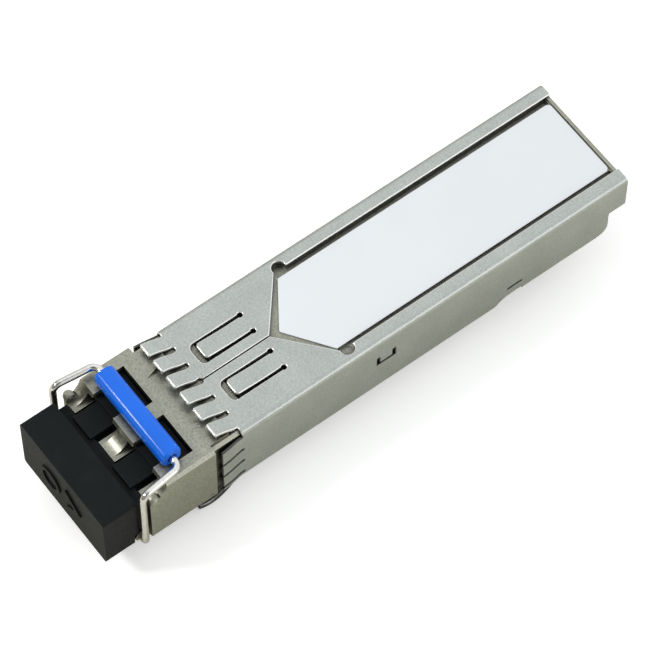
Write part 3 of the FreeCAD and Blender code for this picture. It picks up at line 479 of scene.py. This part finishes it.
def wall_holes():
    """The lance that locks the right wall to the casting, and the slit over the belly's end."""
    front, rear, low, high, slot = LANCE
    lance = [(front, high), (front, low), (rear, low), (rear, high), (rear - slot, high),
             (rear - slot, low + slot), (front + slot, low + slot), (front + slot, high)]
    start, end, below, above = BELLY_SLIT
    slit = [(start, below), (end, below), (end, above), (start, above)]
    return [[(on_wall(z), y) for y, z in lance], [(on_wall(z), y) for y, z in slit]]


def split_along(bm, axis, places):
    """Extra edges across the blank wherever it bends."""
    normal = Vector((1, 0, 0)) if axis == "x" else Vector((0, 1, 0))
    for place in places:
        everything = bm.verts[:] + bm.edges[:] + bm.faces[:]
        bmesh.ops.bisect_plane(bm, geom=everything, dist=SPLIT_TOLERANCE, plane_co=normal * place,
                               plane_no=normal)


def front_of(face):
    """Whether a face lies on the fingers, in front of the shell's body."""
    return face.calc_center_median().y < 0


def make_shell(face_material, edge_material):
    """Cut the flat blank, fold it, and give it the sheet's thickness and rounded cut edges."""
    half = front_edge() + seam_edge() + tail_edge()
    mirror = [(-across, along) for across, along in reversed(half)]
    outline = half[1:-1] + mirror[1:-1]
    holes = [tab_slot()] + wall_holes()
    holes += [[(-across, along) for across, along in hole] for hole in holes]
    bm = bmesh.new()
    bm.from_mesh(flat_mesh("blank", [outline] + holes))
    bends = [start + BEND_RUN * i / BEND_STEPS
             for start in (FLOOR_RUN, WALL_END) for i in range(BEND_STEPS + 1)]
    split_along(bm, "x", bends + [-place for place in bends])
    split_along(bm, "y", [0] + [-place for place in FINGER_BENDS])
    split_along(bm, "y", [TAB_BEND - step for step in TAB_SPLITS])
    bmesh.ops.remove_doubles(bm, verts=bm.verts, dist=MERGE)
    for vert in bm.verts:
        vert.co = fold(vert.co.x, vert.co.y) * MM
    bmesh.ops.dissolve_degenerate(bm, edges=bm.edges, dist=SPECK * MM)
    bmesh.ops.delete(bm, geom=[vert for vert in bm.verts if not vert.link_faces], context="VERTS")
    bmesh.ops.dissolve_limit(bm, angle_limit=math.radians(0.3), verts=bm.verts, edges=bm.edges)
    bmesh.ops.recalc_face_normals(bm, faces=bm.faces)
    lowest = min((face for face in bm.faces if not front_of(face)),
                 key=lambda face: face.calc_center_median().z)
    if lowest.normal.z > 0:
        bmesh.ops.reverse_faces(bm, faces=bm.faces)
    shade_smooth(bm)
    mesh = bpy.data.meshes.new("folded_shell")
    bm.to_mesh(mesh)
    bm.free()
    shell = new_piece("folded_shell", mesh, "shell", [face_material, edge_material])
    sheet = shell.modifiers.new("sheet", "SOLIDIFY")
    sheet.thickness = SHEET * MM
    sheet.offset = -1
    sheet.material_offset_rim = 1
    soften(shell, SHEARED_ROUND, angle=50, segments=3, material=1, clamp=False)
    return shell


# ---- bail, label and castings ------------------------------------------------------------------


def joint_place(name):
    """A joint's place at rest, in millimetres."""
    joint = next(joint for joint in frame["joints"] if joint["name"] == name)
    return Vector(joint["pos_m"]) / MM


def filleted(points, radii, steps=10):
    """A path with a tangent arc at each inner corner."""
    path = [points[0]]
    for before, corner, after, radius in zip(points, points[1:], points[2:], radii):
        arriving = (corner - before).normalized()
        leaving = (after - corner).normalized()
        turn = arriving.angle(leaving)
        setback = radius * math.tan(turn / 2)
        centre = corner + (leaving - arriving).normalized() * radius / math.cos(turn / 2)
        first = (corner - arriving * setback - centre).normalized()
        last = (corner + leaving * setback - centre).normalized()
        path += [centre + radius * first.slerp(last, k / steps) for k in range(steps + 1)]
    return path + [points[-1]]


def make_bail_wire(material):
    """The bent wire: up from the pivots on both sides, back to the grip, and a crank between the ears."""
    low, high = (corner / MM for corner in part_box("bail_wire"))
    pivot = joint_place("bail_swing")
    grip_y, top = high.y - WIRE_RADIUS, high.z - WIRE_RADIUS
    foot = high.x - WIRE_RADIUS
    drop = CRANK_THROW * math.sqrt(0.5)
    half = [Vector((BAIL_TOP_HALF, grip_y, top)), Vector((foot, pivot.y, top)),
            Vector((foot, pivot.y, pivot.z)), Vector((CRANK_HALF + CRANK_RUN, pivot.y, pivot.z)),
            Vector((CRANK_HALF, pivot.y - drop, pivot.z + drop))]
    mirror = [Vector((-point.x, point.y, point.z)) for point in reversed(half)]
    start, end = Vector((0.02, grip_y, top)), Vector((-0.02, grip_y, top))
    path = filleted([start] + half + mirror + [end], WIRE_BENDS + WIRE_BENDS[::-1])
    curve = bpy.data.curves.new("bent_wire", "CURVE")
    curve.dimensions = "3D"
    curve.bevel_depth = WIRE_RADIUS * MM
    curve.bevel_resolution = 8
    curve.use_fill_caps = True
    spline = curve.splines.new("POLY")
    spline.points.add(len(path) - 1)
    for point, place in zip(spline.points, path):
        point.co = (*(place * MM), 1)
    holder = bpy.data.objects.new("bent_wire", curve)
    mesh = bpy.data.meshes.new_from_object(holder)
    bpy.data.objects.remove(holder)
    for polygon in mesh.polygons:
        polygon.use_smooth = len(polygon.vertices) == 4
    return new_piece("bent_wire", mesh, "bail_wire", [material])


def grip_ring(bm, centre, x, half, inset):
    """A rounded rectangle round the wire at one place along it, drawn in by an inset."""
    depth, height = half.y - inset, half.z - inset
    corners = [(-depth, -height), (depth, -height), (depth, height), (-depth, height)]
    outline = rounded(corners, [GRIP_ROUND - inset] * 4, steps=8)
    return [bm.verts.new((centre + Vector((x, point.x, point.y))) * MM) for point in outline]


def round_ring(bm, ring, centre, x):
    """The ring's points moved onto a circle a little larger than the wire."""
    places = []
    for vert in ring:
        around = vert.co / MM - centre
        around.x = 0
        places.append(bm.verts.new((centre + Vector((x, 0, 0)) + around.normalized() * GRIP_HOLE) * MM))
    return places


def make_grip(material):
    """The moulded grip: rounded along its length and at its ends, with a dimple round the wire."""
    low, high = (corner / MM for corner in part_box("bail_sleeve"))
    centre, half = (low + high) / 2, (high - low) / 2
    end = []
    for i in range(GRIP_END_STEPS + 1):
        angle = math.radians(90 * i / GRIP_END_STEPS)
        end.append((half.x - GRIP_END_ROUND * (1 - math.cos(angle)),
                    GRIP_END_ROUND * (1 - math.sin(angle))))
    bm = bmesh.new()
    rings = [grip_ring(bm, centre, -x, half, inset) for x, inset in end]
    rings += [grip_ring(bm, centre, x, half, inset) for x, inset in end[::-1]]
    for sign in (-1, 1):
        mouth = round_ring(bm, rings[0 if sign < 0 else -1], centre, sign * half.x)
        bottom = round_ring(bm, mouth, centre, sign * (half.x - GRIP_DIMPLE))
        rings = [bottom, mouth] + rings if sign < 0 else rings + [mouth, bottom]
    for first, second in zip(rings, rings[1:]):
        for i, vert in enumerate(first):
            j = (i + 1) % len(first)
            bm.faces.new((vert, first[j], second[j], second[i]))
    bm.faces.new(rings[0])
    bm.faces.new(rings[-1])
    bmesh.ops.recalc_face_normals(bm, faces=bm.faces)
    shade_smooth(bm, 40)
    mesh = bpy.data.meshes.new("moulded_grip")
    bm.to_mesh(mesh)
    bm.free()
    return new_piece("moulded_grip", mesh, "bail_sleeve", [material])


def make_label(material):
    """The blank label: a thin film with a pointed front end and rounded rear corners."""
    low, high = (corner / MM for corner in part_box("label"))
    corners = [(low.x, high.y), (low.x, LABEL_SHOULDER), (0, low.y),
               (high.x, LABEL_SHOULDER), (high.x, high.y)]
    outline = rounded(corners, [LABEL_CORNER, LABEL_TURN, LABEL_TIP, LABEL_TURN, LABEL_CORNER])
    mesh = flat_mesh("label_film", [outline])
    for vert in mesh.vertices:
        vert.co = Vector((vert.co.x, vert.co.y, high.z)) * MM
    film = new_piece("label_film", mesh, "label", [material])
    body = film.modifiers.new("film", "SOLIDIFY")
    body.thickness = (high.z - low.z) * MM
    body.offset = -1 if mesh.polygons[0].normal.z > 0 else 1
    soften(film, LABEL_EDGE)
    return film


def make_spring(material):
    """The latch's coil spring: its top stays in the nose's pocket and its foot goes with the lever."""
    spring = bpy.data.objects.new("coil_spring", cad_mesh("latch_spring"))
    bpy.context.scene.collection.objects.link(spring)
    spring.data.materials.clear()
    spring.data.materials.append(material)
    low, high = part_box("latch_spring")
    middle = (low + high) / 2
    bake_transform(spring, "module", "latch", (middle.x, middle.y, high.z), (middle.x, middle.y, low.z))
    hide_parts("latch_spring")
    return spring


def softened_part(name, node, width, material, segments=2):
    """A CAD node's own shape with its sharp edges rounded over a width in millimetres."""
    piece = new_piece(name, cad_mesh(node), node, [material])
    soften(piece, width, segments=segments)
    return piece


# ---- materials ---------------------------------------------------------------------------------


class Shader:
    """A material's node tree with short calls for adding nodes and joining them."""

    def __init__(self, name, **surface):
        self.material = bpy.data.materials.new(name)
        self.material.use_nodes = True
        self.nodes = self.material.node_tree.nodes
        self.links = self.material.node_tree.links
        self.surface = self.nodes["Principled BSDF"]
        self.place = self.nodes.new("ShaderNodeTexCoord").outputs["Object"]
        self.set_inputs(self.surface, {key.replace("_", " "): value for key, value in surface.items()})

    def set_inputs(self, node, inputs):
        """Join or set a node's inputs; a colour of three parts gets its fourth."""
        for key, value in inputs.items():
            socket = node.inputs[key]
            if isinstance(value, bpy.types.NodeSocket):
                self.links.new(value, socket)
            elif socket.type == "RGBA":
                socket.default_value = (*value, 1)
            else:
                socket.default_value = value

    def add(self, kind, inputs, output=0, **settings):
        """A new node's output."""
        node = self.nodes.new("ShaderNode" + kind)
        for key, value in settings.items():
            setattr(node, key, value)
        self.set_inputs(node, inputs)
        return node.outputs[output]

    def noise(self, grain, detail=3, stretch=(1, 1, 1)):
        """Cloudy noise whose features are about grain millimetres across, drawn out along an axis."""
        place = self.add("Mapping", {"Vector": self.place, "Scale": Vector(stretch)})
        return self.add("TexNoise", {"Vector": place, "Scale": 1 / (grain * MM), "Detail": detail})

    def spread(self, value, low, high, first=0.3, last=0.7):
        """Map a noise's usual range onto the wanted one."""
        return self.add("MapRange", {"Value": value, "From Min": first, "From Max": last,
                                     "To Min": low, "To Max": high})

    def shade(self, colour, brightness):
        """A colour made brighter or darker."""
        return self.add("HueSaturation", {"Color": colour, "Value": brightness})

    def mix(self, factor, first, second):
        """The first colour where the factor is 0 and the second where it is 1."""
        return self.add("Mix", {0: factor, 6: first, 7: second}, output=2, data_type="RGBA")

    def product(self, first, second):
        return self.add("Math", {0: first, 1: second}, operation="MULTIPLY")

    def edges(self, width):
        """1 on rounded or sharp edges and 0 on flat faces."""
        bent = self.add("Bevel", {"Radius": width * MM}, samples=4)
        flat = self.nodes.new("ShaderNodeNewGeometry").outputs["Normal"]
        likeness = self.add("VectorMath", {0: bent, 1: flat}, output=1, operation="DOT_PRODUCT")
        return self.spread(likeness, 1, 0, 0.8, 0.98)

    def painted_occlusion_shade(self, reach, lowest):
        """Painted shade: 1 on open faces, falling towards the lowest value in slots and corners a few tenths
        deep.
        """
        seen = self.add("AmbientOcclusion", {"Distance": reach * MM}, output="AO", samples=6)
        return self.spread(seen, lowest, 1.0, 0.3, 0.8)

    def bump(self, height, distance, strength=1.0):
        """Surface relief from a height of 0 to 1, with its depth in millimetres."""
        return self.add("Bump", {"Height": height, "Distance": distance * MM, "Strength": strength})

    def finish(self, **surface):
        """The material, with its last surface inputs joined."""
        self.set_inputs(self.surface, {key.replace("_", " "): value for key, value in surface.items()})
        return self.material


def plated_metal(name, colour, edge_highlight_colour, grain, roughness, mottling, stretch=(1, 1, 1)):
    """Satin plating or rolled sheet: fine grain and cloudy patches, with painted shade in slots and corners
    and a painted highlight on the edges.
    """
    shader = Shader(name, Metallic=0.9)
    fine = shader.noise(grain, 4, stretch)
    cloud = shader.noise(3.0, 3)
    brightness = shader.product(shader.spread(fine, 1 - mottling, 1 + mottling),
                                shader.spread(cloud, 0.95, 1.05))
    # painted shade: the colour is darkened in slots and corners by ambient occlusion
    brightness = shader.product(brightness, shader.painted_occlusion_shade(1.0, 0.12))
    # painted highlight: the edges take the brighter edge colour
    tone = shader.mix(shader.edges(0.1), shader.shade(colour, brightness), edge_highlight_colour)
    return shader.finish(Base_Color=tone, Roughness=shader.spread(fine, roughness - 0.05, roughness + 0.07),
                         Normal=shader.bump(fine, 0.012, 0.6))


def sheared_edge(name):
    """The cut edge of the sheet: bright on the roof as a painted highlight, dulled below it and in slits as
    painted shade, with streaks across its thickness.
    """
    shader = Shader(name, Metallic=0.9)
    streak = shader.noise(0.08, 2, (1, 1, 0.2))
    height = shader.add("SeparateXYZ", {0: shader.place}, output="Z")
    # painted highlight on the roof: below it the cut edge is dulled by height as painted shade
    lift = shader.spread(height, 0.1, 1, (HEIGHT - 2 * SHEET) * MM, (HEIGHT - SHEET) * MM)
    # painted shade in the slits by ambient occlusion
    brightness = shader.product(shader.spread(streak, 0.9, 1.05), shader.painted_occlusion_shade(0.4, 0.1))
    brightness = shader.product(brightness, lift)
    # the bright base colour of the cut edge is itself a painted highlight
    return shader.finish(Base_Color=shader.shade((0.86, 0.86, 0.84), brightness),
                         Roughness=shader.spread(streak, 0.22, 0.36))


def polished_wire(name):
    """Bright drawn steel wire."""
    shader = Shader(name, Metallic=1.0)
    drawn = shader.noise(0.12, 3, (0.15, 1, 0.15))
    return shader.finish(Base_Color=shader.shade((0.74, 0.73, 0.71), shader.spread(drawn, 0.88, 1.08)),
                         Roughness=shader.spread(drawn, 0.08, 0.16), Normal=shader.bump(drawn, 0.003, 0.5))


def moulded_plastic(name, colour, roughness, grain=0.25, relief=0.006, tint=0.05, specular=0.5):
    """Even plastic or ceramic with fine pores."""
    shader = Shader(name, Metallic=0.0, Specular_IOR_Level=specular)
    pores = shader.noise(grain, 4)
    cloud = shader.noise(2.5, 2)
    return shader.finish(Base_Color=shader.shade(colour, shader.spread(cloud, 1 - tint, 1 + tint)),
                         Roughness=shader.spread(pores, roughness - 0.04, roughness + 0.06),
                         Normal=shader.bump(pores, relief, 0.7))


def matt_rubber(name):
    """Dark moulded rubber with fine pores, faint dust and paler rubbed edges."""
    shader = Shader(name, Metallic=0.0, Specular_IOR_Level=0.15)
    pores = shader.noise(0.12, 5)
    cloud = shader.noise(1.8, 3)
    dusty = shader.spread(cloud, 0.0, 0.10, 0.45, 0.75)
    dust = shader.mix(dusty, (0.0045, 0.0065, 0.007), (0.035, 0.04, 0.04))
    tone = shader.mix(shader.product(shader.edges(0.12), 0.3), dust, (0.04, 0.044, 0.044))
    return shader.finish(Base_Color=tone, Roughness=shader.spread(pores, 0.48, 0.66),
                         Normal=shader.bump(pores, 0.012, 0.6))


def paper_film(name):
    """Bluish-white label film with a faint orange-peel surface."""
    shader = Shader(name, Metallic=0.0)
    peel = shader.noise(0.3, 2)
    cloud = shader.noise(6.0, 2)
    return shader.finish(Base_Color=shader.shade((0.765, 0.80, 0.835), shader.spread(cloud, 0.985, 1.01)),
                         Roughness=shader.spread(peel, 0.42, 0.52), Normal=shader.bump(peel, 0.004, 0.4))


def solder_mask(name):
    """Green board lacquer with faint tracks showing through it."""
    shader = Shader(name, Metallic=0.0, Coat_Weight=0.4, Coat_Roughness=0.12)
    tracks = shader.add("TexWave", {"Vector": shader.place, "Scale": 620.0, "Distortion": 1.5,
                                    "Detail": 1.0}, output=1, bands_direction="X")
    lift = shader.spread(tracks, 0.0, 1.0, 0.55, 0.7)
    tone = shader.mix(lift, (0.012, 0.11, 0.045), (0.03, 0.19, 0.08))
    return shader.finish(Base_Color=tone, Roughness=shader.spread(shader.noise(0.3), 0.3, 0.42),
                         Normal=shader.bump(lift, 0.02, 0.6))


def turned_metal(name, colour, roughness=0.28):
    """Lathe-turned metal with fine rings along the module."""
    shader = Shader(name, Metallic=1.0)
    rings = shader.noise(0.06, 2, (0.02, 1, 0.02))
    return shader.finish(Base_Color=shader.shade(colour, shader.spread(rings, 0.93, 1.04)),
                         Roughness=shader.spread(rings, roughness - 0.06, roughness + 0.08),
                         Normal=shader.bump(rings, 0.006, 0.6))


def speckled(name, colour, second, grain, roughness):
    """Two tones in small patches, for chip bodies and ceramic parts."""
    shader = Shader(name, Metallic=0.0)
    patch = shader.noise(grain, 3)
    return shader.finish(Base_Color=shader.mix(shader.spread(patch, 0, 1), colour, second),
                         Roughness=shader.spread(patch, roughness - 0.08, roughness + 0.08),
                         Normal=shader.bump(patch, 0.01, 0.5))


# ---- stage, light and camera -------------------------------------------------------------------


def add_floor(level):
    """White paper that throws a softer, warmer light back onto the module than it shows itself."""
    shader = Shader("floor_paper", Metallic=0.0, Specular_IOR_Level=0.0, Roughness=0.8)
    seen = shader.nodes.new("ShaderNodeLightPath").outputs["Is Camera Ray"]
    paper = shader.shade((0.97, 0.97, 0.97), shader.spread(shader.noise(4.0, 2), 0.995, 1.0))
    material = shader.finish(Base_Color=shader.mix(seen, FLOOR_BOUNCE, paper), Emission_Color=(1.0, 1.0, 1.0),
                             Emission_Strength=shader.product(seen, FLOOR_GLOW))
    bm = bmesh.new()
    bmesh.ops.create_grid(bm, x_segments=2, y_segments=2, size=FLOOR_HALF)
    mesh = bpy.data.meshes.new("floor")
    bm.to_mesh(mesh)
    bm.free()
    mesh.materials.append(material)
    floor = bpy.data.objects.new("floor", mesh)
    floor.location.z = level
    bpy.context.scene.collection.objects.link(floor)


def add_softbox(name, place, target, width, energy, colour):
    """A square lamp that faces the target."""
    lamp = bpy.data.lights.new(name, "AREA")
    lamp.shape = "SQUARE"
    lamp.size = width
    lamp.energy = energy
    lamp.color = colour
    holder = bpy.data.objects.new(name, lamp)
    bpy.context.scene.collection.objects.link(holder)
    holder.location = place
    holder.rotation_mode = "QUATERNION"
    holder.rotation_quaternion = (target - Vector(place)).to_track_quat("-Z", "Y")


def add_camera():
    """A long lens looking down on the module from its front right."""
    azimuth, elevation = math.radians(CAMERA_AZIMUTH), math.radians(CAMERA_ELEVATION)
    target = Vector(CAMERA_TARGET) * MM
    back = Vector((math.sin(azimuth) * math.cos(elevation), -math.cos(azimuth) * math.cos(elevation),
                   math.sin(elevation)))
    camera = bpy.data.objects.new("camera", bpy.data.cameras.new("camera"))
    bpy.context.scene.collection.objects.link(camera)
    camera.location = target + back * CAMERA_DISTANCE * MM
    camera.rotation_mode = "QUATERNION"
    camera.rotation_quaternion = (-back).to_track_quat("-Z", "Y")
    camera.data.sensor_width = CAMERA_SENSOR
    camera.data.lens = CAMERA_LENS
    camera.data.clip_start, camera.data.clip_end = 0.01, 10
    bpy.context.scene.camera = camera
    return target


def add_room():
    """A bright room whose front end is dim, with one dark patch that streaks the polished wire."""
    world = bpy.data.worlds.new("studio")
    world.use_nodes = True
    bpy.context.scene.world = world
    tree = world.node_tree
    direction = tree.nodes.new("ShaderNodeTexCoord").outputs["Generated"]

    def towards(axis):
        part = tree.nodes.new("ShaderNodeVectorMath")
        part.operation = "DOT_PRODUCT"
        tree.links.new(direction, part.inputs[0])
        part.inputs[1].default_value = Vector(axis).normalized()
        return part.outputs["Value"]

    tone = tree.nodes.new("ShaderNodeValToRGB")
    tree.links.new(towards(BRIGHT_END), tone.inputs["Fac"])
    dim, bright = tone.color_ramp.elements
    dim.color, bright.color = (*ROOM_DIM, 1), (*ROOM_BRIGHT, 1)
    bright.position = ROOM_BRIGHT_FROM
    patch = tree.nodes.new("ShaderNodeMapRange")
    tree.links.new(towards(DARK_PATCH), patch.inputs["Value"])
    patch.inputs["From Min"].default_value, patch.inputs["From Max"].default_value = DARK_PATCH_EDGE
    patch.inputs["To Min"].default_value, patch.inputs["To Max"].default_value = 1.0, DARK_PATCH_LEVEL
    tree.links.new(tone.outputs["Color"], tree.nodes["Background"].inputs["Color"])
    tree.links.new(patch.outputs[0], tree.nodes["Background"].inputs["Strength"])


def add_lights(target):
    """The room and two small softboxes round the target."""
    bpy.context.scene.view_settings.view_transform = "Standard"
    add_room()
    for name, direction, width, energy, colour in LIGHTS:
        add_softbox(name, target + Vector(direction) * LIGHT_DISTANCE, target, width, energy, colour)


# ---- the module --------------------------------------------------------------------------------

SLOTS = {part["node"]: part["material_slot"] for part in frame["record"]["subparts"]}

FINISHES = {
    # the second colour of each plating is its painted edge highlight
    "die_casting": plated_metal("cast_plating", (0.345, 0.35, 0.295), (0.62, 0.58, 0.50), 0.20, 0.42, 0.24),
    "sheet_steel": plated_metal("rolled_sheet", (0.455, 0.48, 0.46), (0.80, 0.80, 0.78), 0.18, 0.36, 0.15),
    "spring_wire": polished_wire("polished_wire"),
    "grip_plastic": moulded_plastic("blue_plastic", (0.003, 0.14, 0.77), 0.22, relief=0.002, specular=0.34),
    "plug_rubber": matt_rubber("black_rubber"),
    "label_film": paper_film("white_film"),
    "board_laminate": solder_mask("green_lacquer"),
    "gold_plating": turned_metal("gold_plate", (0.83, 0.62, 0.25), 0.22),
    "chip_epoxy": speckled("chip_epoxy", (0.012, 0.012, 0.013), (0.03, 0.03, 0.03), 0.08, 0.5),
    "chip_ceramic": speckled("chip_ceramic", (0.42, 0.33, 0.22), (0.62, 0.60, 0.56), 0.4, 0.4),
    "ferrule_ceramic": moulded_plastic("zirconia", (0.86, 0.86, 0.80), 0.2, relief=0.002),
    "turned_steel": turned_metal("turned_steel", (0.58, 0.57, 0.55)),
    "polyimide": moulded_plastic("amber_film", (0.50, 0.20, 0.03), 0.3),
    "clamp_plastic": moulded_plastic("clamp_plastic", (0.03, 0.03, 0.03), 0.45),
}
SHEARED = sheared_edge("sheared_edge")

for node, part in frame["nodes"].items():
    part.data.materials.clear()
    part.data.materials.append(FINISHES[SLOTS[node]])

make_shell(FINISHES["sheet_steel"], SHEARED)
make_bail_wire(FINISHES["spring_wire"])
make_grip(FINISHES["grip_plastic"])
make_label(FINISHES["label_film"])
softened_part("cast_nose", "nose_housing", 0.08, FINISHES["die_casting"])
softened_part("cast_cover", "cover_housing", 0.06, FINISHES["die_casting"])
softened_part("cast_base", "base_tray", 0.06, FINISHES["die_casting"])
softened_part("rubber_plug", "dust_plug", 0.22, FINISHES["plug_rubber"], segments=3)
make_spring(FINISHES["spring_wire"])
softened_part("pressed_lever", "latch_lever", 0.05, FINISHES["turned_steel"])

add_floor(CAD_BOX[0][2])
add_lights(add_camera())
